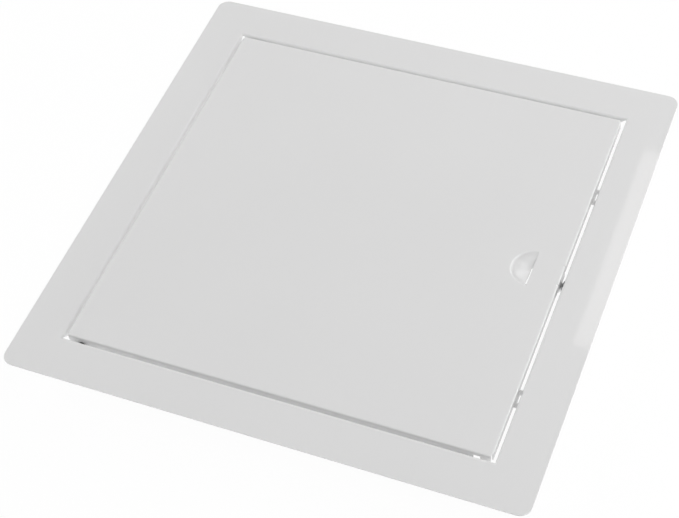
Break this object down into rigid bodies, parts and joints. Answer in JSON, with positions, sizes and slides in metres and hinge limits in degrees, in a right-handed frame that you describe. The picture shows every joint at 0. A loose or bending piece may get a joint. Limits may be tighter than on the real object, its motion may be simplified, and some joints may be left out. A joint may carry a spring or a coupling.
{
  "type": "ceiling access panel",
  "caption": "Square sheet-steel access panel: flat flange and collar frame with a hinged flush door, half-moon finger pull and snap catch.",
  "frame": {"origin": "middle of the opening, on the plane of the collar's rear edges, on which the panel lies face up", "axes": "+Z out of the visible face, +X from the hinge side to the catch side, +Y from the front to the rear"},
  "size_m": [0.36, 0.36, 0.0325],
  "materials": {
    "frame_paint": "semi-gloss white powder coat",
    "door_paint": "semi-gloss white powder coat",
    "zinc_steel": "bright zinc plate",
    "spring_steel": "plain rolled spring steel",
    "nylon": "black moulded nylon"
  },
  "bodies": {
    "frame": {"frame": "frame_paint", "hinge_pin_front": "zinc_steel", "hinge_pin_rear": "zinc_steel", "hinge_washer_front": "nylon", "hinge_washer_rear": "nylon", "catch_spring": "spring_steel", "catch_rivets": "zinc_steel"},
    "door": {"door_leaf": "door_paint"}
  },
  "joints": [
    {"name": "door_hinge", "type": "hinge", "parent": "frame", "child": "door", "pos_m": [-0.1367, 0, 0.026], "axis": [0, -1, 0], "range_deg": [0, 110], "deforming": ["catch_spring"]}
  ]
}
